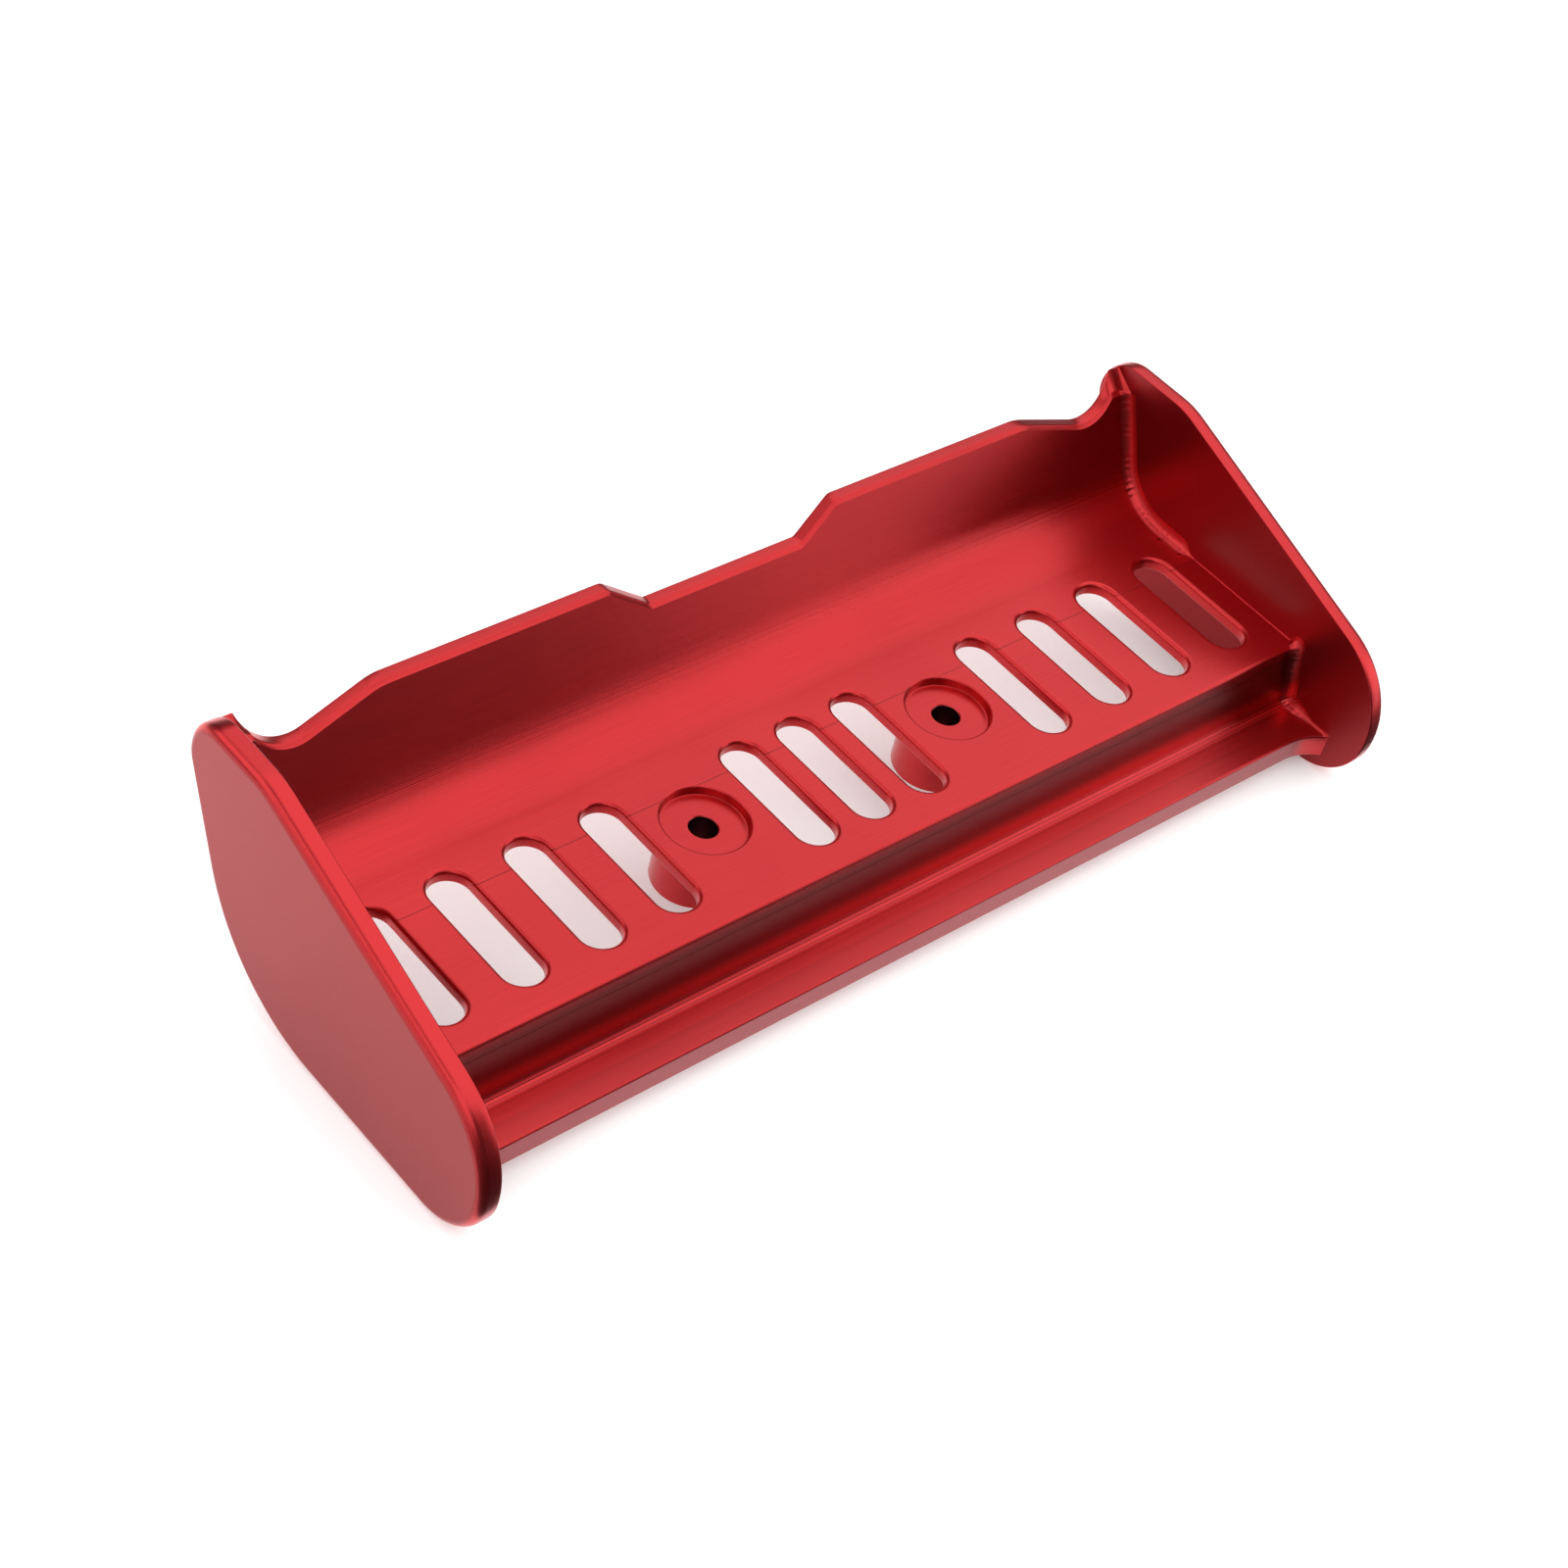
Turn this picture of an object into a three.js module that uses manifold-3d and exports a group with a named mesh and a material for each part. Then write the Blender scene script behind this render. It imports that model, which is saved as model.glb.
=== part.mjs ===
// Model-car racing rear wing, milled from one aluminium billet and anodised red.
// Millimetres, +Z up, +X along the span, +Y towards the back of the car.
// It is drawn with the deck's top face at height 0 and moved at the end, so that the
// origin is the bottom centre of the bounding box.

import * as THREE from 'three';
import { mergeVertices } from 'three/addons/utils/BufferGeometryUtils.js';
import Module from 'manifold-3d';

const wasm = await Module();
wasm.setup();

// ---- driving dimensions ----

const HALF_SPAN = 51.3;         // centre to the inner face of an end plate
const PLATE_THICK = 2.0;
const PLATE_ROUND = 0.9;        // rounding of an end plate's outer edge
const SHELL = 1.3;              // thickness of the deck and of the spoiler
const CORNER_R = 1.2;           // tool radius left between the wing and an end plate

const DECK_FRONT = -11.1;
const DECK_BACK = 7.5;          // where the flat deck starts to curve up

const SLOT_WIDTH = 4.0;
const SLOT_LENGTH = 13.55;
const SLOT_CENTRE_Y = -1.35;
const MIDDLE_PITCH = 6.5;
const MIDDLE_SLOTS = 3;
const OUTER_FIRST = 22.1;
const OUTER_PITCH = 8.0;
const OUTER_SLOTS = 4;          // on each side

const HOLE_X = 14.4;
const HOLE_Y = -0.8;
const HOLE_R = 1.3;             // clears an M2.5 screw
const COUNTERBORE_R = 3.95;
const COUNTERBORE_DEPTH = 0.9;
const BOSS_R = 3.75;
const BOSS_FOOT = -7.15;

const CURVE_R = 7.0;            // inside radius between deck and spoiler
const WALL_ANGLE = THREE.MathUtils.degToRad(66.5);
const TOP_HIGH = 11.25;         // spoiler's top edge
const TOP_NOTCH = 8.7;          // in the middle notch
const TOP_LOW = 9.3;            // beside the end plates
const NOTCH_BOTTOM = 8.8;       // half widths along the span
const NOTCH_TOP = 13.2;
const SHOULDER = 36.6;
const LOW_START = 44.0;
const EAR_X = 45.5;             // centre of the scoop that runs up to the end plate
const EAR_R = 5.0;

const LIP_TOP = -6.25;
const LIP_BOTTOM = -8.75;
const LIP_FRONT = -16.6;
const STEP_THICK = 2.0;
const STEP_R = 2.0;             // radius between the step and the lip
const FLARE_X = 47.5;           // where the lip's front edge starts to flare
const FLARE_R = 6.0;

// Corners of an end plate as [y, z, corner radius], clockwise from the top rear one.
const PLATE = [
  [19.3, 13.5, 3.7],
  [20.15, 9.1, 3.8],
  [11.1, -10.55, 17.3],
  [-21.5, -10.55, 6.4],
  [-22.0, 2.6, 9.0],
  [9.9, 13.5, 8.7],
];

const RED = 0xc4262b;
const PLATE_RED = 0xbd2a30;

// ---- helpers ----

function solid(geometry) {
  const bare = geometry.index ? geometry.toNonIndexed() : geometry.clone();
  bare.deleteAttribute('normal');
  bare.deleteAttribute('uv');
  const merged = mergeVertices(bare, 1e-4);
  return new wasm.Manifold(new wasm.Mesh({
    numProp: 3,
    vertProperties: new Float32Array(merged.attributes.position.array),
    triVerts: new Uint32Array(merged.index.array),
  }));
}

function mesh(name, body, color) {
  const data = body.getMesh();
  const geometry = new THREE.BufferGeometry();
  geometry.setAttribute('position', new THREE.BufferAttribute(new Float32Array(data.vertProperties), 3));
  geometry.setIndex(new THREE.BufferAttribute(new Uint32Array(data.triVerts), 1));
  geometry.computeVertexNormals();
  const material = new THREE.MeshStandardMaterial({ color, roughness: 0.35, metalness: 0.9 });
  const result = new THREE.Mesh(geometry, material);
  result.name = name;
  return result;
}

function box(x0, x1, y0, y1, z0, z1) {
  const geometry = new THREE.BoxGeometry(x1 - x0, y1 - y0, z1 - z0);
  geometry.translate((x0 + x1) / 2, (y0 + y1) / 2, (z0 + z1) / 2);
  return solid(geometry);
}

// A section in the Y-Z plane swept along X. With a rounding, the ends are rounded over.
function sweep(points, x0, x1, round = 0) {
  const geometry = new THREE.ExtrudeGeometry(new THREE.Shape(points), {
    depth: x1 - x0 - 2 * round,
    bevelEnabled: round > 0,
    bevelThickness: round,
    bevelSize: round,
    bevelOffset: -round,
    bevelSegments: 6,
    steps: 1,
  });
  geometry.translate(0, 0, x0 + round);
  geometry.applyMatrix4(new THREE.Matrix4().makeBasis(
    new THREE.Vector3(0, 1, 0),
    new THREE.Vector3(0, 0, 1),
    new THREE.Vector3(1, 0, 0),
  ));
  return solid(geometry);
}

// An outline drawn in plan or in front view, pushed along Z or Y.
function prism(points, along, from, to) {
  const geometry = new THREE.ExtrudeGeometry(new THREE.Shape(points), {
    depth: to - from,
    bevelEnabled: false,
    curveSegments: 16,
  });
  geometry.translate(0, 0, from);
  if (along === 'y') {
    geometry.applyMatrix4(new THREE.Matrix4().makeBasis(
      new THREE.Vector3(1, 0, 0),
      new THREE.Vector3(0, 0, -1),
      new THREE.Vector3(0, 1, 0),
    ));
    geometry.scale(1, 1, -1);
    flip(geometry);
  }
  return solid(geometry);
}

function flip(geometry) {
  const positions = geometry.attributes.position.array;
  for (let i = 0; i < positions.length; i += 9) {
    for (let k = 0; k < 3; k += 1) {
      const held = positions[i + 3 + k];
      positions[i + 3 + k] = positions[i + 6 + k];
      positions[i + 6 + k] = held;
    }
  }
}

function rod(x, y, radius, z0, z1) {
  const geometry = new THREE.CylinderGeometry(radius, radius, z1 - z0, 48);
  geometry.rotateX(Math.PI / 2);
  geometry.translate(x, y, (z0 + z1) / 2);
  return solid(geometry);
}

function arc(cx, cy, radius, from, to, steps) {
  const points = [];
  for (let i = 0; i <= steps; i += 1) {
    const angle = from + (to - from) * i / steps;
    points.push(new THREE.Vector2(cx + radius * Math.cos(angle), cy + radius * Math.sin(angle)));
  }
  return points;
}

function roundedPolygon(corners, steps) {
  const points = [];
  corners.forEach(([y, z, radius], i) => {
    const corner = new THREE.Vector2(y, z);
    const before = corners[(i + corners.length - 1) % corners.length];
    const after = corners[(i + 1) % corners.length];
    const a = new THREE.Vector2(before[0], before[1]).sub(corner).normalize();
    const b = new THREE.Vector2(after[0], after[1]).sub(corner).normalize();
    const half = Math.acos(a.dot(b)) / 2;
    const centre = corner.clone().add(a.clone().add(b).normalize().multiplyScalar(radius / Math.sin(half)));
    const start = corner.clone().addScaledVector(a, radius / Math.tan(half)).sub(centre);
    const end = corner.clone().addScaledVector(b, radius / Math.tan(half)).sub(centre);
    const from = start.angle();
    const turn = THREE.MathUtils.euclideanModulo(end.angle() - from + Math.PI, 2 * Math.PI) - Math.PI;
    points.push(...arc(centre.x, centre.y, radius, from, from + turn, steps));
  });
  return points;
}

// ---- shared sections ----

// The inside surface of the spoiler: flat deck, curve, then the wall leaning back.
const curveEnd = -Math.PI / 2 + WALL_ANGLE;
const wallFoot = new THREE.Vector2(
  DECK_BACK + CURVE_R * Math.cos(curveEnd),
  CURVE_R + CURVE_R * Math.sin(curveEnd),
);

function upTheWall(foot, height) {
  const rise = height - foot.y;
  return new THREE.Vector2(foot.x + rise / Math.tan(WALL_ANGLE), height);
}

const FAR = 40;
const channel = [
  new THREE.Vector2(-FAR, 0),
  ...arc(DECK_BACK, CURVE_R, CURVE_R, -Math.PI / 2, curveEnd, 16),
  upTheWall(wallFoot, FAR),
  new THREE.Vector2(-FAR, FAR),
];

const outerR = CURVE_R + SHELL;
const outerFoot = new THREE.Vector2(
  DECK_BACK + outerR * Math.cos(curveEnd),
  CURVE_R + outerR * Math.sin(curveEnd),
);
const spoilerBlock = [
  ...arc(DECK_BACK, CURVE_R, outerR, -Math.PI / 2, curveEnd, 16),
  upTheWall(outerFoot, 15),
  new THREE.Vector2(DECK_BACK, 15),
];

// The open space in front of the step and above the lip.
const frontSpace = [
  new THREE.Vector2(-FAR, LIP_TOP),
  ...arc(DECK_FRONT - STEP_R, LIP_TOP + STEP_R, STEP_R, -Math.PI / 2, 0, 8),
  new THREE.Vector2(DECK_FRONT, FAR),
  new THREE.Vector2(-FAR, FAR),
];

const plateOutline = roundedPolygon(PLATE, 14);

const channelTool = sweep(channel, -HALF_SPAN, HALF_SPAN, CORNER_R);
const frontTool = sweep(frontSpace, -HALF_SPAN, HALF_SPAN, CORNER_R);

// ---- deck ----

function slot(x) {
  const r = SLOT_WIDTH / 2;
  const reach = SLOT_LENGTH / 2 - r;
  const points = [
    ...arc(x, SLOT_CENTRE_Y + reach, r, 0, Math.PI, 14),
    ...arc(x, SLOT_CENTRE_Y - reach, r, Math.PI, 2 * Math.PI, 14),
  ];
  return prism(points, 'z', -SHELL - 1, 1);
}

function buildDeck() {
  let deck = box(-HALF_SPAN, HALF_SPAN, DECK_FRONT - CORNER_R, DECK_BACK, -SHELL, CORNER_R)
    .subtract(channelTool)
    .subtract(frontTool);
  for (let i = 0; i < MIDDLE_SLOTS; i += 1) {
    deck = deck.subtract(slot((i - (MIDDLE_SLOTS - 1) / 2) * MIDDLE_PITCH));
  }
  for (const side of [-1, 1]) {
    for (let i = 0; i < OUTER_SLOTS; i += 1) {
      deck = deck.subtract(slot(side * (OUTER_FIRST + i * OUTER_PITCH)));
    }
    deck = deck
      .subtract(rod(side * HOLE_X, HOLE_Y, HOLE_R, -SHELL - 1, 1))
      .subtract(rod(side * HOLE_X, HOLE_Y, COUNTERBORE_R, -COUNTERBORE_DEPTH, 1));
  }
  return deck;
}

// ---- rear spoiler ----

function topEdge() {
  const right = [
    new THREE.Vector2(NOTCH_BOTTOM, TOP_NOTCH),
    new THREE.Vector2(NOTCH_TOP, TOP_HIGH),
    new THREE.Vector2(SHOULDER, TOP_HIGH),
    new THREE.Vector2(LOW_START, TOP_LOW),
    ...arc(EAR_X, TOP_LOW + EAR_R, EAR_R, -Math.PI / 2, 0, 10),
    new THREE.Vector2(EAR_X + EAR_R, 15),
    new THREE.Vector2(HALF_SPAN, 15),
  ];
  const left = right.map((p) => new THREE.Vector2(-p.x, p.y)).reverse();
  return [
    new THREE.Vector2(-HALF_SPAN, -5),
    new THREE.Vector2(HALF_SPAN, -5),
    ...[...right].reverse(),
    ...[...left].reverse(),
  ];
}

function buildSpoiler() {
  return sweep(spoilerBlock, -HALF_SPAN, HALF_SPAN)
    .subtract(channelTool)
    .intersect(prism(topEdge(), 'y', 0, 30))
    .intersect(sweep(plateOutline, -HALF_SPAN, HALF_SPAN));
}

// ---- front lip ----

function buildLip() {
  const flareEnd = Math.asin((HALF_SPAN - FLARE_X) / FLARE_R);
  const right = arc(FLARE_X, LIP_FRONT - FLARE_R, FLARE_R, Math.PI / 2, Math.PI / 2 - flareEnd, 8);
  const left = right.map((p) => new THREE.Vector2(-p.x, p.y)).reverse();
  const plan = [
    ...left,
    ...right,
    new THREE.Vector2(HALF_SPAN, DECK_FRONT + STEP_THICK),
    new THREE.Vector2(-HALF_SPAN, DECK_FRONT + STEP_THICK),
  ];
  return prism(plan, 'z', LIP_BOTTOM, -SHELL).subtract(frontTool);
}

// ---- end plates and mounting bosses ----

function buildPlate(side) {
  const outer = HALF_SPAN + PLATE_THICK;
  const whole = sweep(plateOutline, -outer, outer, PLATE_ROUND);
  const keep = side > 0
    ? box(HALF_SPAN, outer + 1, -FAR, FAR, -FAR, FAR)
    : box(-outer - 1, -HALF_SPAN, -FAR, FAR, -FAR, FAR);
  return whole.intersect(keep);
}

function buildBoss(side) {
  const x = side * HOLE_X;
  return rod(x, HOLE_Y, BOSS_R, BOSS_FOOT, -SHELL)
    .subtract(rod(x, HOLE_Y, HOLE_R, BOSS_FOOT - 1, 1));
}

// ---- assembly ----

const pieces = [
  ['main_deck', buildDeck(), RED],
  ['rear_spoiler', buildSpoiler(), RED],
  ['front_lip', buildLip(), RED],
  ['left_end_plate', buildPlate(-1), PLATE_RED],
  ['right_end_plate', buildPlate(1), PLATE_RED],
  ['left_mount_boss', buildBoss(-1), RED],
  ['right_mount_boss', buildBoss(1), RED],
];

const bounds = new THREE.Box2().setFromPoints(plateOutline);
const shift = [0, -(bounds.min.x + bounds.max.x) / 2, -bounds.min.y];

const group = new THREE.Group();
group.name = 'racing_rear_wing';
for (const [name, body, color] of pieces) {
  group.add(mesh(name, body.translate(shift), color));
}

export default group;
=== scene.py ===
import math

import bmesh
import bpy
from mathutils import Euler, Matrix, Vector
from mathutils.geometry import tessellate_polygon


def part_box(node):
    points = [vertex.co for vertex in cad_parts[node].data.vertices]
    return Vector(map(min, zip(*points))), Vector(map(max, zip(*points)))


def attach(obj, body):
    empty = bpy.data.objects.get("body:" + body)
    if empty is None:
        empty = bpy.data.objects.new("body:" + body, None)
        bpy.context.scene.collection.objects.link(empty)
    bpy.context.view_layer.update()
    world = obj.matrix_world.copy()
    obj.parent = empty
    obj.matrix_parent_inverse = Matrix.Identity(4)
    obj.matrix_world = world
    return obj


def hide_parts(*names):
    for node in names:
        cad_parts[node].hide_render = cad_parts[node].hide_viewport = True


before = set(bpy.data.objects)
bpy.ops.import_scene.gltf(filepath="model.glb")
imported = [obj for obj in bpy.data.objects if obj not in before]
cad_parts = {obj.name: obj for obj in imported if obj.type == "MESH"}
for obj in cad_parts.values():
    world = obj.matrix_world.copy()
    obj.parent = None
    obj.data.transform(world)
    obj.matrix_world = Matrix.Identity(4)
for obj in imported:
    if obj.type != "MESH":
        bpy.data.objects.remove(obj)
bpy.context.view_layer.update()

MM = 0.001

# ---- the wing's sizes in mm, with the deck's top face at height 0 ----

HALF = 51.3             # centre to an end plate's inner face
PLATE = 2.0
PLATE_ROUND = 0.9
SHELL = 1.3
CORNER_R = 1.2
DECK_FRONT = -11.1
DECK_BACK = 7.5
EDGE = 0.22             # softened edge
RIM = 0.42              # rounding of the slots' and the deck's front edge
GUARD = 0.12            # flat strip beside a rounded edge
WELD = 0.002            # points closer than this are joined
SLOT_R = 2.0
SLOT_REACH = 4.775
SLOT_Y = -1.35
# Slot centres: three in the middle, then four towards each end plate.
SLOTS = [0, 6.5, -6.5] + [s * (22.1 + 8.0 * i) for s in (-1, 1) for i in range(4)]
HOLE_X = 14.4
HOLE_Y = -0.8
HOLE_R = 1.3
SEAT_R = 3.95
SEAT_DEPTH = 0.9
SEAT_FLOOR_R = 2.6      # a ring that keeps the seat floor's faces even
BOSS_R = 3.75
BOSS_FOOT = -7.15
CURVE_R = 7.0
WALL = math.radians(66.5)
TOP_HIGH = 11.25
TOP_NOTCH = 8.7
FILLET_TOP = 10.95      # front edge of a scoop, where it meets an end plate
SCOOP = (45.5, 14.2, 5.0)       # the scoop's arc: across, height, radius
NOSE_R = 0.3            # rounding of the wall's top edge, front and back
HEEL_R = 0.2
SHARP_R = 0.1           # corner radius along the deck's flat part
SCALLOP_PITCH = 0.66
SCALLOP_DEPTH = 0.085
LIP_TOP = -6.25
LIP_BOTTOM = -8.75
LIP_FRONT = -16.6
STEP_THICK = 2.0
STEP_LEAN = math.radians(10)
STEP_R = 1.0            # foot of the step
FLARE_X = 47.5
FLARE_R = 6.0
# An end plate's corners as (y, height, radius).
OUTLINE = [(19.3, 13.5, 3.7), (20.15, 9.1, 3.8), (11.1, -10.55, 17.3),
           (-21.5, -10.55, 6.4), (-22.0, 2.6, 9.0), (9.9, 13.5, 8.7)]

# Marks on the milled faces, placed by y + z. A band is (centre, reach either way).
SEAM_BAND = (2.8, 0.1)          # a fine dark line across the deck
# The step's wall band is painted shade: the wall is coloured darker there.
STEP_SHADE_BAND = (-13.9, 3.0)        # the step's wall
COMB_BAND = (-18.5, 1.3)        # fine lines in the step's foot
COMB_PITCH = 0.5
LIP_STRIP = -20.75              # the lip is darker in front of this
LIP_EDGE = -22.0                # the lip's front face is in front of this
GROOVES = [(15.6, 2.2, 0.3, 0.9), (19.4, 1.6, 0.8, 0.5), (-18.3, 2.0, 0.28, 0.8)]
RIPPLES = [(15.55, 0.9, 0.6, 0.018), (-18.3, 0.95, 0.56, 0.022)]

# The drawing's zero in the frame, from where the CAD nodes are.
Y0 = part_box("rear_spoiler")[0].y / MM - DECK_BACK
Z0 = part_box("main_deck")[0].z / MM + SHELL


# ---- mesh helpers ----

def make(name, verts, faces, material, angle=32):
    mesh = bpy.data.meshes.new(name)
    mesh.from_pydata([(x * MM, (y + Y0) * MM, (z + Z0) * MM) for x, y, z in verts], [], faces)
    bm = bmesh.new()
    bm.from_mesh(mesh)
    bmesh.ops.remove_doubles(bm, verts=bm.verts, dist=WELD * MM)
    bmesh.ops.recalc_face_normals(bm, faces=bm.faces)
    bm.to_mesh(mesh)
    bm.free()
    for polygon in mesh.polygons:
        polygon.use_smooth = len(polygon.vertices) == 4    # triangles and big caps are flat faces
    mesh.set_sharp_from_angle(angle=math.radians(angle))
    obj = bpy.data.objects.new(name, mesh)
    bpy.context.scene.collection.objects.link(obj)
    mesh.materials.append(material)
    even = obj.modifiers.new("weighted_normals", "WEIGHTED_NORMAL")
    even.keep_sharp = True
    even.weight = 60
    return obj


def arc(cy, cz, r, a0, a1, n):
    angles = [a0 + (a1 - a0) * i / n for i in range(n + 1)]
    return [(cy + r * math.cos(a), cz + r * math.sin(a)) for a in angles]


def loft(rings, closed_ring=True, caps=True):
    """Quads between rings that all have the same number of points."""
    verts = [p for ring in rings for p in ring]
    n = len(rings[0])
    faces = []
    for i in range(len(rings) - 1):
        for j in range(n if closed_ring else n - 1):
            k = (j + 1) % n
            faces.append((i * n + j, i * n + k, (i + 1) * n + k, (i + 1) * n + j))
    if caps:
        faces.append(tuple(range(n)))
        faces.append(tuple((len(rings) - 1) * n + j for j in range(n)))
    return verts, faces


def join(*parts):
    verts, faces = [], []
    for v, f in parts:
        faces += [tuple(i + len(verts) for i in face) for face in f]
        verts += v
    return verts, faces


def step_wall(z):
    """How far forward the step's leaning wall is at a height."""
    top_y = DECK_FRONT + RIM * (1 - math.cos(STEP_LEAN))
    top_z = RIM * (math.sin(STEP_LEAN) - 1)
    return top_y - (top_z - z) * math.tan(STEP_LEAN)


FOOT_TOP = LIP_TOP + STEP_R * (1 - math.sin(STEP_LEAN))
FOOT_Y = step_wall(FOOT_TOP) - STEP_R * math.cos(STEP_LEAN)


# ---- the wing's upper skin, from the lip to the spoiler, as (y, z, normal y, normal z) ----

def skin():
    path = []

    def line(y0, z0, y1, z1, ny, nz, step):
        n = max(1, round(math.hypot(y1 - y0, z1 - z0) / step))
        path.extend((y0 + (y1 - y0) * i / n, z0 + (z1 - z0) * i / n, ny, nz) for i in range(n))

    def bend(cy, cz, r, a0, a1, side, step):
        n = max(4, round(abs(r * (a1 - a0)) / step))
        for i in range(n):
            a = a0 + (a1 - a0) * i / n
            c, s = math.cos(a), math.sin(a)
            path.append((cy + r * c, cz + r * s, side * c, side * s))

    line(-19.0, LIP_TOP, FOOT_Y, LIP_TOP, 0, 1, 0.15)
    bend(FOOT_Y, LIP_TOP + STEP_R, STEP_R, -math.pi / 2, -STEP_LEAN, -1, 0.08)
    rim_foot = RIM * (math.sin(STEP_LEAN) - 1)
    line(step_wall(FOOT_TOP), FOOT_TOP, step_wall(rim_foot), rim_foot,
         -math.cos(STEP_LEAN), math.sin(STEP_LEAN), 0.15)
    bend(DECK_FRONT + RIM, -RIM, RIM, math.pi - STEP_LEAN, math.pi / 2, 1, 0.06)
    line(DECK_FRONT + RIM, 0, DECK_BACK, 0, 0, 1, 0.15)
    bend(DECK_BACK, CURVE_R, CURVE_R, -math.pi / 2, -math.pi / 2 + WALL, -1, 0.12)
    foot = (DECK_BACK + CURVE_R * math.sin(WALL), CURVE_R - CURVE_R * math.cos(WALL))
    high = 14.0
    line(foot[0], foot[1], foot[0] + (high - foot[1]) / math.tan(WALL), high,
         -math.sin(WALL), math.cos(WALL), 0.15)
    return path


SKIN = skin()
LENGTHS = [0.0]
for a, b in zip(SKIN, SKIN[1:]):
    LENGTHS.append(LENGTHS[-1] + math.hypot(b[0] - a[0], b[1] - a[1]))
LIP_END = next(i for i, p in enumerate(SKIN) if p[1] > LIP_TOP + 1e-6) - 1
STEP_TOP = next(i for i, p in enumerate(SKIN) if p[1] >= -SHELL)
CURVE_START = next(i for i, p in enumerate(SKIN) if p[0] >= DECK_BACK)
WALL_START = next(i for i, p in enumerate(SKIN) if abs(p[2] + math.sin(WALL)) < 1e-9)


def corner_radius(y, z):
    """A ball cutter left the corner round. Along the deck's flat part it is sharp."""
    if y < DECK_FRONT:
        return CORNER_R * min(1.0, max(0.3, (y - LIP_FRONT) / 3.0))
    back = min(1.0, max(0.0, (y - 3.0) / 1.8))
    front = min(1.0, max(0.0, (DECK_FRONT + 1.1 - y) / 1.0))
    ease = max(back, front)
    return SHARP_R + (CORNER_R - SHARP_R) * ease * ease * (3 - 2 * ease)


def fillet(d, s, radius=CORNER_R):
    """How far the corner fillet lifts the skin at d from an end plate, with scallops along s."""
    if d >= radius:
        return 0.0
    lift = radius - math.sqrt(max(0.0, radius ** 2 - (radius - d) ** 2))
    step = abs(math.sin(math.pi * s / SCALLOP_PITCH + 0.5 * math.sin(0.9 * s)))
    strength = SCALLOP_DEPTH * (0.55 + 0.45 * math.sin(2.1 * s)) * min(1.0, radius)
    return lift + strength * math.sin(math.pi * min(1.0, d / radius)) * (0.45 - step)


def ripple(y, z):
    """Shallow grooves along the span, in the curve and in the foot of the step."""
    across = y + z
    depth = 0.0
    for centre, width, pitch, most in RIPPLES:
        near = max(0.0, 1.0 - abs(across - centre) / width)
        depth -= most * near * abs(math.sin(math.pi * (across - centre) / pitch))
    return depth


def stations(extra=()):
    """Places along the span, close together in the corner fillets."""
    near = [CORNER_R * (1 - math.cos(math.radians(9 * k))) for k in range(11)]
    right = sorted({round(HALF - d, 4) for d in near} | {round(float(e), 4) for e in extra})
    return [-x for x in reversed(right) if x > 0] + [x for x in right if x >= 0]


# ---- materials ----

def node(tree, kind, **values):
    n = tree.nodes.new(kind)
    for k, v in values.items():
        setattr(n, k, v)
    return n


def math_node(tree, operation, a, b=None, clamp=False):
    n = node(tree, "ShaderNodeMath", operation=operation, use_clamp=clamp)
    for i, v in enumerate((a, b)):
        if v is None:
            continue
        if isinstance(v, (int, float)):
            n.inputs[i].default_value = v
        else:
            tree.links.new(v, n.inputs[i])
    return n.outputs[0]


def noise(tree, vector, scale, detail=3.0, roughness=0.5):
    n = node(tree, "ShaderNodeTexNoise")
    n.inputs["Scale"].default_value = scale
    n.inputs["Detail"].default_value = detail
    n.inputs["Roughness"].default_value = roughness
    tree.links.new(vector, n.inputs["Vector"])
    return n.outputs["Fac"]


def ramp(tree, fac, stops):
    n = node(tree, "ShaderNodeValToRGB")
    while len(n.color_ramp.elements) < len(stops):
        n.color_ramp.elements.new(0.5)
    for e, (pos, color) in zip(n.color_ramp.elements, stops):
        e.position = pos
        e.color = (*color, 1) if len(color) == 3 else color
    tree.links.new(fac, n.inputs["Fac"])
    return n.outputs["Color"]


def mix_color(tree, fac, a, b):
    n = node(tree, "ShaderNodeMix", data_type="RGBA")
    tree.links.new(fac, n.inputs["Factor"])
    tree.links.new(a, n.inputs[6])
    n.inputs[7].default_value = (*b, 1)
    return n.outputs[2]


def map_range(tree, value, a, b, c, d):
    n = node(tree, "ShaderNodeMapRange")
    for i, v in enumerate((a, b, c, d)):
        n.inputs[i + 1].default_value = v
    tree.links.new(value, n.inputs[0])
    return n.outputs[0]


def combine(tree, *xyz):
    n = node(tree, "ShaderNodeCombineXYZ")
    for i, v in enumerate(xyz):
        if isinstance(v, (int, float)):
            n.inputs[i].default_value = v
        else:
            tree.links.new(v, n.inputs[i])
    return n.outputs[0]


def band(tree, value, centre, width):
    """1 at centre, falling to 0 at width on either side."""
    away = math_node(tree, "ABSOLUTE", math_node(tree, "SUBTRACT", value, centre))
    return math_node(tree, "SUBTRACT", 1.0, math_node(tree, "DIVIDE", away, width), clamp=True)


def add(tree, a, b):
    return math_node(tree, "ADD", a, b)


def minus(tree, a, b):
    return math_node(tree, "SUBTRACT", a, b)


def times(tree, a, b, clamp=False):
    return math_node(tree, "MULTIPLY", a, b, clamp)


def split_xyz(tree, vector):
    n = node(tree, "ShaderNodeSeparateXYZ")
    tree.links.new(vector, n.inputs[0])
    return n.outputs


def stretched_noise(tree, x, across, squeeze, seed, scale, detail, roughness):
    """Noise drawn out along the span, like the marks of tool paths."""
    vector = combine(tree, times(tree, x, squeeze), across, seed)
    return noise(tree, vector, scale, detail, roughness)


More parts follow.
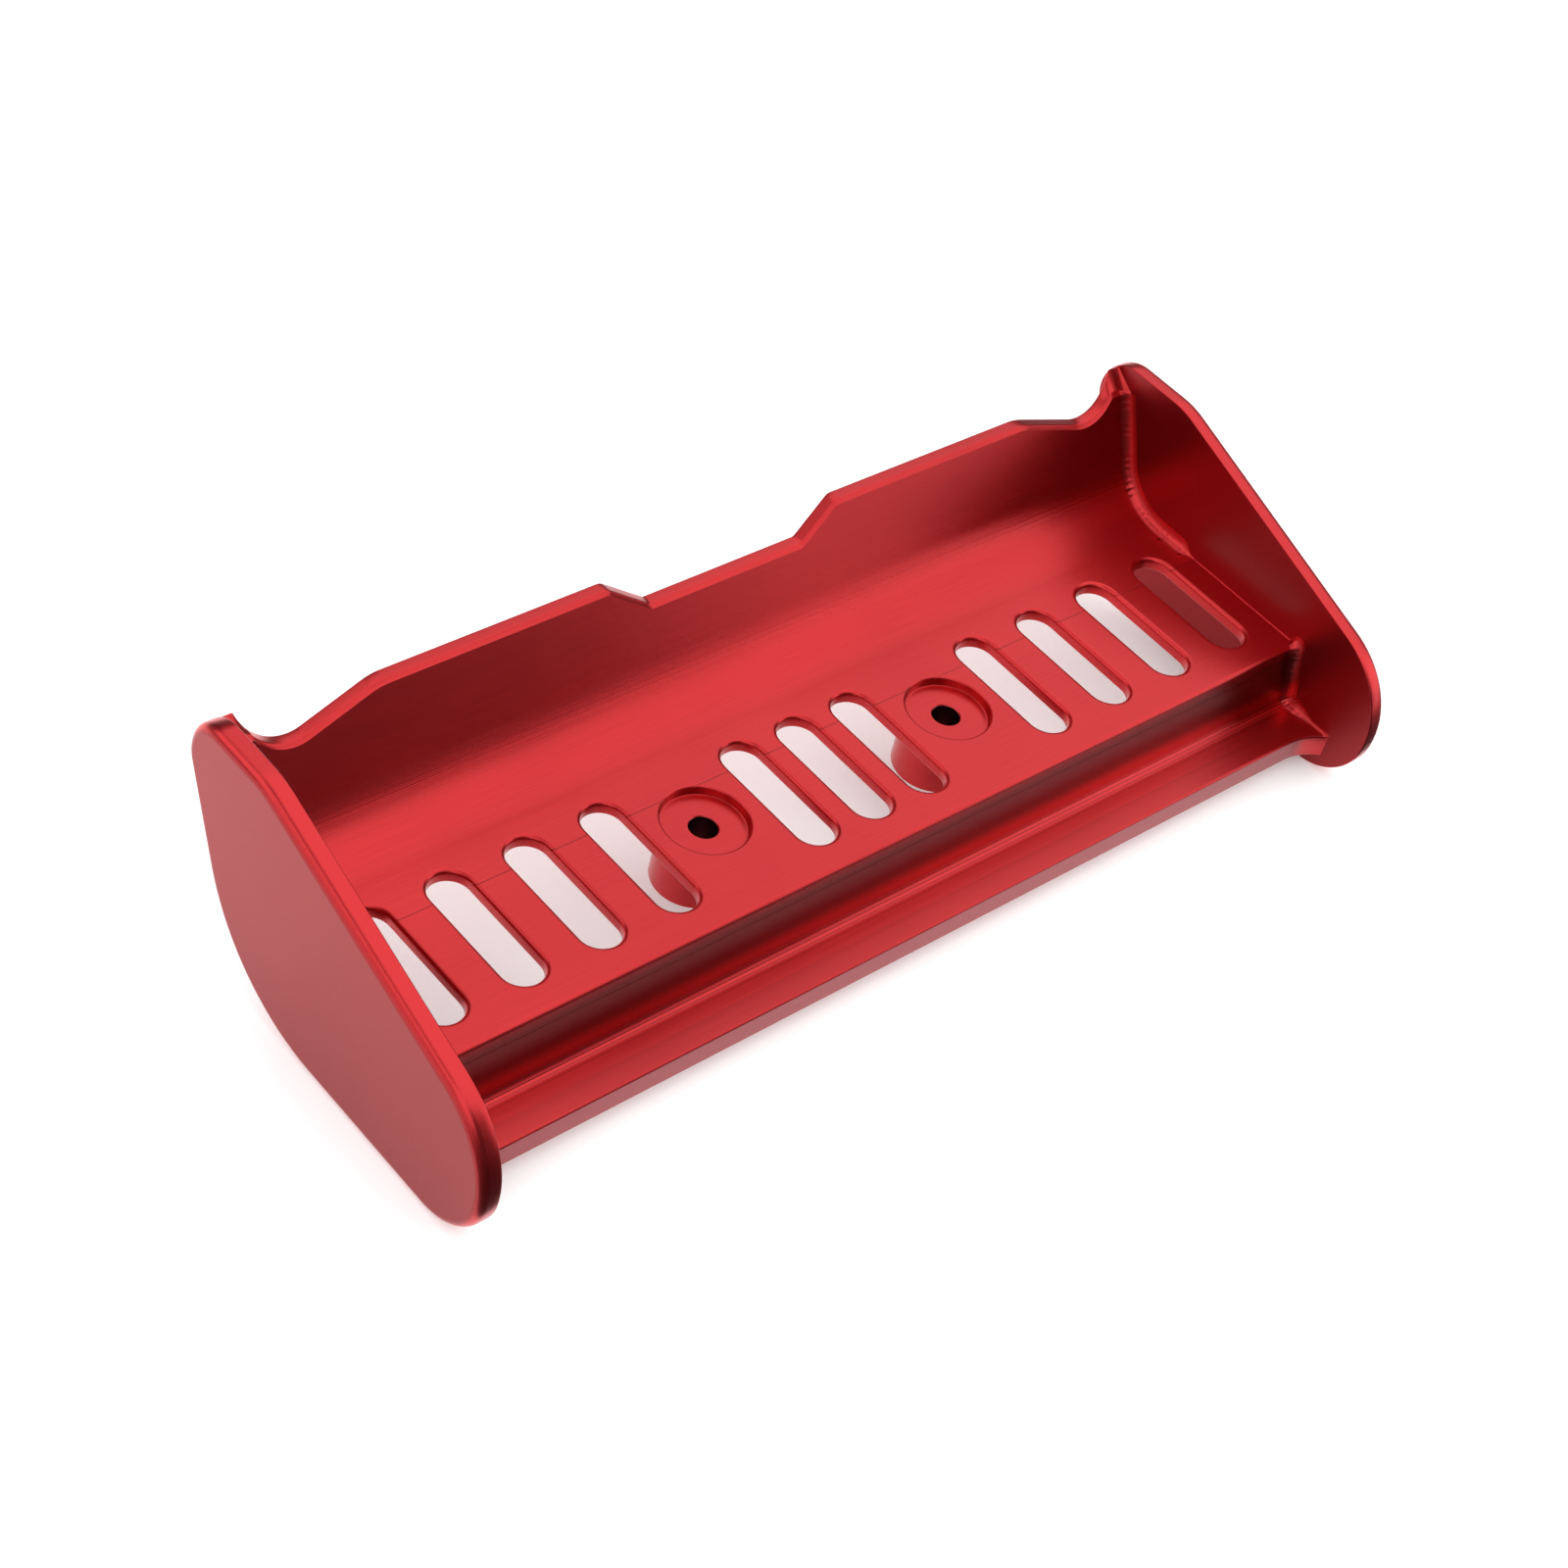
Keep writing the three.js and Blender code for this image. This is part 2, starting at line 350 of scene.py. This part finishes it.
def milled_look(tree, color, rough, x, y, across, seam):
    """The wing's marks, with painted shade on the step's wall and in the screw holes: returns its
    colour and roughness.
    """
    # The darkening gathers the deck's seam line, the darker lip, the painted shade of the step's wall
    # and the tool lines in its foot.
    strip = map_range(tree, across, LIP_STRIP, LIP_STRIP + 0.15, 0.16, 0.0)
    shade = add(tree, times(tree, seam, 0.35), strip)
    # Painted shade: the step's wall is coloured darker than the rest, above the fine lines in its foot.
    wall = times(tree, band(tree, across, *STEP_SHADE_BAND), 2.2, clamp=True)
    shade = add(tree, shade, times(tree, wall, 0.65))
    comb = math_node(tree, "SINE", times(tree, across, 2 * math.pi / COMB_PITCH))
    comb = times(tree, comb, band(tree, across, *COMB_BAND), clamp=True)
    shade = add(tree, shade, times(tree, comb, 0.6))
    color = mix_color(tree, shade, color, (0.04, 0.001, 0.002))
    # Painted shade: the screw holes are coloured nearly black inside.
    off_x = minus(tree, math_node(tree, "ABSOLUTE", x), HOLE_X)
    off_y = minus(tree, y, Y0 + HOLE_Y)
    squares = add(tree, times(tree, off_x, off_x), times(tree, off_y, off_y))
    away = math_node(tree, "SQRT", squares)
    bore_shade = map_range(tree, away, HOLE_R + 0.02, HOLE_R + 0.06, 0.8, 0.0)
    color = mix_color(tree, bore_shade, color, (0.03, 0.014, 0.014))
    # The lip's front face is a sawn edge, paler and more matt than the milled faces.
    normal = split_xyz(tree, node(tree, "ShaderNodeTexCoord").outputs["Normal"])
    sawn = map_range(tree, normal[1], -0.955, -0.99, 0.0, 1.0)
    sawn = times(tree, sawn, map_range(tree, across, LIP_EDGE, LIP_EDGE + 0.2, 1.0, 0.0))
    color = mix_color(tree, times(tree, sawn, 0.8), color, (0.36, 0.06, 0.07))
    return color, add(tree, rough, times(tree, sawn, 0.15))


def plate_look(tree, color, rough):
    """Painted highlight: an end plate's rounded edges are coloured brighter than its faces, and made
    smoother.
    """
    normal = split_xyz(tree, node(tree, "ShaderNodeTexCoord").outputs["Normal"])
    rim_highlight = map_range(tree, math_node(tree, "ABSOLUTE", normal[0]), 0.75, 0.97, 1.0, 0.0)
    color = mix_color(tree, times(tree, rim_highlight, 0.8), color, (0.72, 0.03, 0.036))
    return color, minus(tree, rough, times(tree, rim_highlight, 0.06))


def anodised(name, dark, light, rough, milled, coat):
    mat = bpy.data.materials.new(name)
    mat.use_nodes = True
    tree = mat.node_tree
    bsdf = tree.nodes["Principled BSDF"]
    coords = node(tree, "ShaderNodeTexCoord").outputs["Object"]
    x, y, z = (times(tree, part, 1 / MM) for part in split_xyz(tree, coords))
    # Distance across the tool paths. It grows steadily over lip, step, deck, curve and wall.
    across = minus(tree, add(tree, y, z), Y0 + Z0)

    mm = node(tree, "ShaderNodeVectorMath", operation="SCALE")
    mm.inputs["Scale"].default_value = 1 / MM
    tree.links.new(coords, mm.inputs[0])
    cloud = noise(tree, mm.outputs[0], 0.045, 2.0)
    grain = noise(tree, mm.outputs[0], 9.0, 2.0, 0.6)
    if milled:
        lines = stretched_noise(tree, x, across, 0.02, 0.0, 4.5, 4.0, 0.65)
        broad = stretched_noise(tree, x, across, 0.01, 3.0, 0.9, 2.0, 0.5)
    else:
        lines = noise(tree, mm.outputs[0], 3.2, 4.0, 0.65)
        broad = noise(tree, mm.outputs[0], 0.5, 2.0, 0.5)

    tone = add(tree, times(tree, cloud, 0.5), times(tree, lines, 0.5))
    color = ramp(tree, tone, [(0.3, dark), (0.7, light)])
    spread = add(tree, times(tree, lines, 0.6), times(tree, grain, 0.4))
    roughness = map_range(tree, spread, 0.25, 0.75, rough - 0.05, rough + 0.06)
    height = add(tree, times(tree, lines, 0.35), times(tree, grain, 0.12))
    height = add(tree, height, times(tree, broad, 0.5))
    if milled:
        seam = band(tree, across, *SEAM_BAND)
        color, roughness = milled_look(tree, color, roughness, x, y, across, seam)
        for centre, width, pitch, depth in GROOVES:
            wave = math_node(tree, "SINE", times(tree, across, math.pi / pitch))
            wave = math_node(tree, "ABSOLUTE", wave)
            part = times(tree, wave, band(tree, across, centre, width))
            height = add(tree, height, times(tree, part, depth))
        height = minus(tree, height, times(tree, seam, 2.5))
    else:
        color, roughness = plate_look(tree, color, roughness)
    tree.links.new(color, bsdf.inputs["Base Color"])
    tree.links.new(roughness, bsdf.inputs["Roughness"])

    bump = node(tree, "ShaderNodeBump")
    bump.inputs["Strength"].default_value = 0.35
    bump.inputs["Distance"].default_value = 0.03 * MM
    tree.links.new(height, bump.inputs["Height"])
    tree.links.new(bump.outputs[0], bsdf.inputs["Normal"])

    bsdf.inputs["Metallic"].default_value = 1.0
    bsdf.inputs["Coat Weight"].default_value = coat
    bsdf.inputs["Coat Roughness"].default_value = 0.28
    bsdf.inputs["Coat IOR"].default_value = 1.5
    if milled:
        bsdf.inputs["Anisotropic"].default_value = 0.35
        tangent = node(tree, "ShaderNodeTangent", direction_type="RADIAL", axis="X")
        tree.links.new(tangent.outputs[0], bsdf.inputs["Tangent"])
    return mat


wing_red = anodised("wing_anodised", dark=(0.50, 0.012, 0.016), light=(0.66, 0.022, 0.026),
                    rough=0.34, milled=True, coat=0.5)
plate_red = anodised("plate_anodised", dark=(0.28, 0.008, 0.011), light=(0.34, 0.012, 0.015),
                     rough=0.40, milled=False, coat=0.4)


# ---- end plates ----

def outline(steps=18):
    """Points of an end plate's outline with their outward normals."""
    pts = []
    n = len(OUTLINE)
    for i, (y, z, r) in enumerate(OUTLINE):
        corner = Vector((y, z))
        a = (Vector(OUTLINE[i - 1][:2]) - corner).normalized()
        b = (Vector(OUTLINE[(i + 1) % n][:2]) - corner).normalized()
        half = math.acos(a.dot(b)) / 2
        centre = corner + (a + b).normalized() * (r / math.sin(half))
        start = corner + a * (r / math.tan(half)) - centre
        end = corner + b * (r / math.tan(half)) - centre
        a0 = math.atan2(start.y, start.x)
        turn = (math.atan2(end.y, end.x) - a0 + math.pi) % (2 * math.pi) - math.pi
        for k in range(steps + 1):
            t = a0 + turn * k / steps
            c, s = math.cos(t), math.sin(t)
            pts.append((centre.x + r * c, centre.y + r * s, c, s))
    return pts


def build_plate(side):
    edge = 0.12
    rings = []
    for k in range(4):
        a = math.radians(90 * k / 3)
        rings.append((edge * (1 - math.sin(a)), HALF + edge * (1 - math.cos(a))))
    rings.append((0.0, HALF + (PLATE - PLATE_ROUND) * 0.6))
    for k in range(11):
        a = math.radians(9 * k)
        rings.append((PLATE_ROUND * (1 - math.cos(a)), HALF + PLATE - PLATE_ROUND * (1 - math.sin(a))))
    pts = outline()
    loops = [[(side * x, y - off * ny, z - off * nz) for y, z, ny, nz in pts] for off, x in rings]
    return loft(loops)


# ---- deck ----

def stadium(cx, cy, reach, r, n=20):
    bow = [(r * math.cos(math.pi * k / n), r * math.sin(math.pi * k / n)) for k in range(n + 1)]
    pts = [(cx + u, cy + reach + v) for u, v in bow]
    return pts + [(cx - u, cy - reach - v) for u, v in bow]


def hole(shape, rings):
    """A hole's wall, as rings of (radius, height) from the top face to the bottom face."""
    return loft([[(x, y, z) for x, y in shape(r)] for r, z in rings], caps=False)


def flat(outer, holes, z):
    polys = [[Vector((x, y, 0)) for x, y in loop] for loop in [outer] + holes]
    points = [(p.x, p.y, z) for poly in polys for p in poly]
    return points, [tuple(t) for t in tessellate_polygon(polys)]


def build_deck():
    shapes = [(lambda r, x=x: stadium(x, SLOT_Y, SLOT_REACH, r), "slot") for x in SLOTS]
    shapes += [(lambda r, x=s * HOLE_X: stadium(x, HOLE_Y, 0.0, r, 32), "seat") for s in (-1, 1)]
    turns = [math.radians(18 * k) for k in range(6)]
    soft = [(1 - math.sin(a), math.cos(a) - 1) for a in turns]
    parts, top_holes, bottom_holes = [], [], []
    for shape, kind in shapes:
        if kind == "slot":
            rings = [(SLOT_R + RIM + GUARD, 0.0)] + [(SLOT_R + RIM * o, RIM * z) for o, z in soft]
            rings += [(SLOT_R, -0.75)]
            rings += [(SLOT_R + EDGE * o, -SHELL - EDGE * z) for o, z in reversed(soft)]
        else:
            floor = -SEAT_DEPTH
            rings = [(SEAT_R + EDGE + GUARD, 0.0)]
            rings += [(SEAT_R + EDGE * o, EDGE * z) for o, z in soft]
            rings += [(SEAT_R, floor + 0.12), (SEAT_R - 0.04, floor + 0.035)]
            rings += [(r, floor) for r in (SEAT_R - 0.12, SEAT_R - 0.3, SEAT_FLOOR_R, HOLE_R + 0.25,
                                           HOLE_R + 0.1)]
            rings += [(HOLE_R, floor - 0.1), (HOLE_R, -SHELL)]
        parts.append(hole(shape, rings))
        top_holes.append(shape(rings[0][0]))
        bottom_holes.append(shape(rings[-1][0]))
    y_top = DECK_FRONT + RIM + GUARD
    top = [(-HALF, y_top), (HALF, y_top), (HALF, DECK_BACK), (-HALF, DECK_BACK)]
    parts.append(flat(top, top_holes, 0.0))
    bottom_y = step_wall(-SHELL)
    front = [(y_top, 0.0)] + arc(DECK_FRONT + RIM, -RIM, RIM, math.pi / 2, math.pi - STEP_LEAN, 7)
    front += [(bottom_y, -SHELL)]
    bottom = [(-HALF, bottom_y), (HALF, bottom_y), (HALF, DECK_BACK), (-HALF, DECK_BACK)]
    parts.append(flat(bottom, bottom_holes, -SHELL))
    spans = [-HALF + 2 * HALF * k / 40 for k in range(41)]
    parts.append(loft([[(x, y, z) for y, z in front] for x in spans], closed_ring=False, caps=False))
    back = [(x, DECK_BACK, z) for x, z in ((-HALF, 0), (HALF, 0), (HALF, -SHELL), (-HALF, -SHELL))]
    parts.append((back, [(0, 1, 2), (0, 2, 3)]))
    return join(*parts)


def build_deck_corner(side):
    """The fillet that runs up the step, over the deck's front edge and back along an end plate."""
    rows = []
    for t in [1 - math.cos(math.radians(9 * k)) for k in range(11)]:
        row = []
        for i in range(STEP_TOP, CURVE_START + 1):
            y, z, ny, nz = SKIN[i]
            radius = corner_radius(y, z)
            lift = fillet(t * radius, LENGTHS[i], radius)
            row.append((side * (HALF - t * radius), y + ny * lift, z + nz * lift))
        rows.append(row)
    rows.append([(side * HALF, y, z) for y, z, _, _ in SKIN[STEP_TOP:CURVE_START + 1]])
    return loft(rows, closed_ring=False, caps=False)


# ---- rear spoiler ----

def top_line():
    """The spoiler's top edge from the middle to an end plate, as (x, height)."""
    corners = [(0.0, TOP_NOTCH, 0), (8.8, TOP_NOTCH, 0.9), (13.2, TOP_HIGH, 1.3), (37.1, TOP_HIGH, 7.0)]
    slope = math.radians(15.1)
    scoop_x, scoop_z, scoop_r = SCOOP
    corners.append((scoop_x - scoop_r * math.sin(slope), scoop_z - scoop_r * math.cos(slope), 0))
    pts = [(x, TOP_NOTCH) for x in (0.0, 2.0, 4.0, 6.0)]
    for i in range(1, len(corners) - 1):
        p = Vector(corners[i][:2])
        a = (Vector(corners[i - 1][:2]) - p).normalized()
        b = (Vector(corners[i + 1][:2]) - p).normalized()
        r = corners[i][2]
        half = math.acos(a.dot(b)) / 2
        t = r / math.tan(half)
        centre = p + (a + b).normalized() * (r / math.sin(half))
        s, e = p + a * t - centre, p + b * t - centre
        a0 = math.atan2(s.y, s.x)
        turn = (math.atan2(e.y, e.x) - a0 + math.pi) % (2 * math.pi) - math.pi
        pts += arc(centre.x, centre.y, r, a0, a0 + turn, 6)
        if i == 2:
            pts += [(x, TOP_HIGH) for x in (18.0, 22.0, 26.0, 30.0, 33.0)]
    return pts + arc(scoop_x, scoop_z, scoop_r, math.radians(-105.1), math.radians(-13.1), 20)


def keep_inside(y, z):
    """Holds a point of the scoop's end inside the end plate's rounded rear corner."""
    cy, cz, r = 16.2, 9.8, 3.66
    if y > cy and z > cz:
        far = math.hypot(y - cy, z - cz)
        if far > r:
            return cy + (y - cy) * r / far, cz + (z - cz) * r / far
    return y, z


def build_spoiler():
    half = top_line()
    last_x, last_z = half[-1]
    inner = [x for x in stations() if x > last_x + 0.02]
    half += [(x, last_z + (13.0 - last_z) * (x - last_x) / (HALF - last_x)) for x in inner]
    foot = SKIN[WALL_START]
    loops = []
    for x, top in half:
        d = HALF - x
        ring = []
        for i in range(CURVE_START, WALL_START):
            y, z, ny, nz = SKIN[i]
            lift = fillet(d, LENGTHS[i]) + ripple(y, z)
            ring.append((y + ny * lift, z + nz * lift))
        # The scoop's front edge stays low where its corner fillet meets an end plate.
        front_top = min(top, FILLET_TOP + max(0.0, (d - 1.9) * 0.6))
        run = (front_top - NOSE_R - foot[1]) / math.sin(WALL)
        for k in range(60):
            s = run * k / 59
            lift = fillet(d, LENGTHS[WALL_START] + s)
            ring.append((foot[0] + s * math.cos(WALL) - lift * math.sin(WALL),
                         foot[1] + s * math.sin(WALL) + lift * math.cos(WALL)))
        front_y = foot[0] + (front_top - foot[1]) / math.tan(WALL)
        back_y = foot[0] + (top - foot[1]) / math.tan(WALL) + SHELL / math.sin(WALL)
        lift = fillet(d, 0.33)
        nose_y = front_y - lift * 0.9 + 0.12
        for a in (150, 130, 110, 90):
            t = math.radians(a)
            ring.append((nose_y + NOSE_R * (1 + math.cos(t)), front_top - NOSE_R * (1 - math.sin(t))))
        for a in (90, 60, 30, 0):
            t = math.radians(a)
            ring.append((back_y - HEEL_R * (1 - math.cos(t)), top - HEEL_R * (1 - math.sin(t))))
        r_out = CURVE_R + SHELL
        out_foot = (DECK_BACK + r_out * math.sin(WALL), CURVE_R - r_out * math.cos(WALL))
        for k in range(1, 9):
            z = top - HEEL_R + (out_foot[1] - top + HEEL_R) * k / 9
            ring.append((out_foot[0] + (z - out_foot[1]) / math.tan(WALL), z))
        ring += arc(DECK_BACK, CURVE_R, r_out, -math.pi / 2 + WALL, -math.pi / 2, 24)
        ring = [keep_inside(y, z) for y, z in ring]
        loops.append([(x, y, z) for y, z in ring])
    mirrored = [[(-x, y, z) for x, y, z in ring] for ring in reversed(loops[1:])]
    return loft(mirrored + loops)


# ---- front lip ----

def build_lip():
    flare = [FLARE_X + (HALF - FLARE_X) * k / 10 for k in range(10)]
    xs = stations([0.0, 10.0, 20.0, 30.0, 40.0] + flare)
    soft = [math.radians(22.5 * k) for k in range(5)]
    e = EDGE
    heel = DECK_FRONT + STEP_THICK
    loops = []
    for x in xs:
        d = HALF - abs(x)
        over = abs(x) - FLARE_X
        flared = FLARE_R - math.sqrt(FLARE_R ** 2 - over ** 2) if over > 0 else 0.0
        front = LIP_FRONT - flared
        ring = []
        for i in range(STEP_TOP, LIP_END - 1, -1):
            y, z, ny, nz = SKIN[i]
            lift = fillet(d, LENGTHS[i]) + ripple(y, z)
            z = min(z, -SHELL)
            ring.append((y + ny * lift, z + nz * lift))
        start = FOOT_Y - 0.1
        count = 26
        for k in range(count + 1):
            y = start + (front + e - start) * k / count
            radius = corner_radius(min(y, DECK_FRONT - 0.01), LIP_TOP)
            ring.append((y, LIP_TOP + fillet(d, 9.0 + y, radius) + ripple(y, LIP_TOP)))
        up = fillet(d, 0.33, 0.3 * CORNER_R)
        ring += [(front + e - e * math.sin(a), LIP_TOP - e + e * math.cos(a) + up) for a in soft[1:]]
        ring.append((front, (LIP_TOP + LIP_BOTTOM) / 2))
        ring += [(front + e - e * math.cos(a), LIP_BOTTOM + e - e * math.sin(a)) for a in soft]
        ring += [(DECK_FRONT, LIP_BOTTOM), (heel - e, LIP_BOTTOM)]
        ring += [(heel - e + e * math.sin(a), LIP_BOTTOM + e - e * math.cos(a)) for a in soft[1:]]
        ring += [(heel, -5.0), (heel, -SHELL)]
        loops.append([(x, y, z) for y, z in ring])
    return loft(loops)


# ---- mounting bosses ----

def build_boss(side):
    x0 = side * HOLE_X
    r, foot = BOSS_R, BOSS_FOOT
    root = [(HOLE_R, 0.0), (r + 0.5, 0.0), (r + 0.23, 0.07), (r + 0.07, 0.23), (r, 0.5)]
    profile = [(radius, -SHELL - depth) for radius, depth in root]
    profile += [(r, -4.2), (r, foot + 0.25), (r - 0.07, foot + 0.07), (r - 0.25, foot), (2.4, foot)]
    profile += [(HOLE_R + 0.2, foot), (HOLE_R, foot + 0.2), (HOLE_R, -4.2)]
    n = 72
    rings = []
    for k in range(n):
        a = 2 * math.pi * k / n
        rings.append([(x0 + out * math.cos(a), HOLE_Y + out * math.sin(a), z) for out, z in profile])
    verts, faces = loft(rings, caps=False)
    m = len(profile)
    faces += [((n - 1) * m + j, (n - 1) * m + (j + 1) % m, (j + 1) % m, j) for j in range(m)]
    return verts, faces


# ---- pieces ----

deck = join(build_deck(), build_deck_corner(-1), build_deck_corner(1))
pieces = [
    ("deck_plate", deck, wing_red, "main_deck"),
    ("spoiler_wall", build_spoiler(), wing_red, "rear_spoiler"),
    ("lip_and_step", build_lip(), wing_red, "front_lip"),
    ("end_plate_left", build_plate(-1), plate_red, "left_end_plate"),
    ("end_plate_right", build_plate(1), plate_red, "right_end_plate"),
    ("boss_left", build_boss(-1), wing_red, "left_mount_boss"),
    ("boss_right", build_boss(1), wing_red, "right_mount_boss"),
]
for name, (verts, faces), material, cad in pieces:
    piece = make(name, verts, faces, material)
    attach(piece, "root")
    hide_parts(cad)


# ---- floor, light and camera ----

def build_floor():
    mat = bpy.data.materials.new("floor")
    mat.use_nodes = True
    bsdf = mat.node_tree.nodes["Principled BSDF"]
    bsdf.inputs["Base Color"].default_value = (0.8, 0.8, 0.8, 1)
    bsdf.inputs["Roughness"].default_value = 0.8
    bsdf.inputs["Emission Color"].default_value = (1, 1, 1, 1)
    bsdf.inputs["Emission Strength"].default_value = 0.2
    reach = 14
    corners = [(-reach, -reach, 0), (reach, -reach, 0), (reach, reach, 0), (-reach, reach, 0)]
    mesh = bpy.data.meshes.new("floor")
    mesh.from_pydata(corners, [], [(0, 1, 2, 3)])
    obj = bpy.data.objects.new("floor", mesh)
    obj.data.materials.append(mat)
    bpy.context.scene.collection.objects.link(obj)


def build_flag():
    """A dark card on the floor in front, seen only in reflections, keeps the wall's left end dark."""
    mat = bpy.data.materials.new("flag")
    mat.use_nodes = True
    bsdf = mat.node_tree.nodes["Principled BSDF"]
    bsdf.inputs["Base Color"].default_value = (0.02, 0.02, 0.02, 1)
    mesh = bpy.data.meshes.new("flag")
    near = [(-0.7, -0.08), (-0.7, -0.022), (0.3, -0.022), (0.3, -0.08)]
    far = [(-0.7, -0.82), (0.56, -0.82), (0.06, -0.08), (-0.7, -0.08)]
    mesh.from_pydata([(x, y, 0.0005) for x, y in near + far], [], [(0, 1, 2, 3), (4, 5, 6, 7)])
    obj = bpy.data.objects.new("flag", mesh)
    obj.data.materials.append(mat)
    obj.visible_camera = False
    obj.visible_diffuse = False
    obj.visible_shadow = False
    bpy.context.scene.collection.objects.link(obj)


def softbox(name, direction, distance, size, power):
    """A flat light that stands in a direction from the wing and faces it."""
    light = bpy.data.lights.new(name, "AREA")
    light.shape = "RECTANGLE"
    light.size, light.size_y = size
    light.energy = power
    obj = bpy.data.objects.new(name, light)
    d = Vector(direction).normalized()
    obj.location = d * distance
    obj.rotation_euler = d.to_track_quat("Z", "Y").to_euler()
    bpy.context.scene.collection.objects.link(obj)
    return obj


build_floor()
build_flag()
# The front and low lights are there for the rims, the slots' edges and the corner fillets.
softbox("overhead", (0.37, 0.0, 0.92), 1.0, (1.88, 1.4), 10.1)
softbox("left_back", (-0.66, 0.44, 0.61), 1.0, (0.9, 0.7), 2.6)
softbox("front", (-0.6, -0.42, 0.68), 1.0, (0.8, 0.8), 2.6)
softbox("left_low", (-1.0, -0.05, 0.16), 1.1, (1.2, 0.4), 1.4)
softbox("side_right", (0.8, -0.56, 0.27), 1.2, (0.75, 0.6), 2.2)
under = softbox("under_fill", (0.0, 1.0, 0.35), 1.0, (1.2, 0.4), 3.0)
under.visible_glossy = False

# An even white surround lights the floor, and is dim in the metal's reflections.
world = bpy.data.worlds.new("studio")
bpy.context.scene.world = world
world.use_nodes = True
background = world.node_tree.nodes["Background"]
background.inputs["Color"].default_value = (1, 1, 1, 1)
glossy = node(world.node_tree, "ShaderNodeLightPath").outputs["Is Glossy Ray"]
strength = map_range(world.node_tree, glossy, 0.0, 1.0, 0.78, 0.08)
world.node_tree.links.new(strength, background.inputs["Strength"])

camera = bpy.data.cameras.new("camera")
camera.sensor_width = 36.0
camera.lens = 72.976
camera.clip_start = 0.01
camera_object = bpy.data.objects.new("camera", camera)
camera_object.location = (-0.16297, -0.12518, 0.19690)
angles = [math.radians(a) for a in (46.0936, -11.5070, -40.6407)]
camera_object.rotation_euler = Euler(angles, "XYZ")
bpy.context.scene.collection.objects.link(camera_object)
bpy.context.scene.camera = camera_object

bpy.context.scene.view_settings.view_transform = "Standard"
bpy.context.scene.view_settings.exposure = 0.0
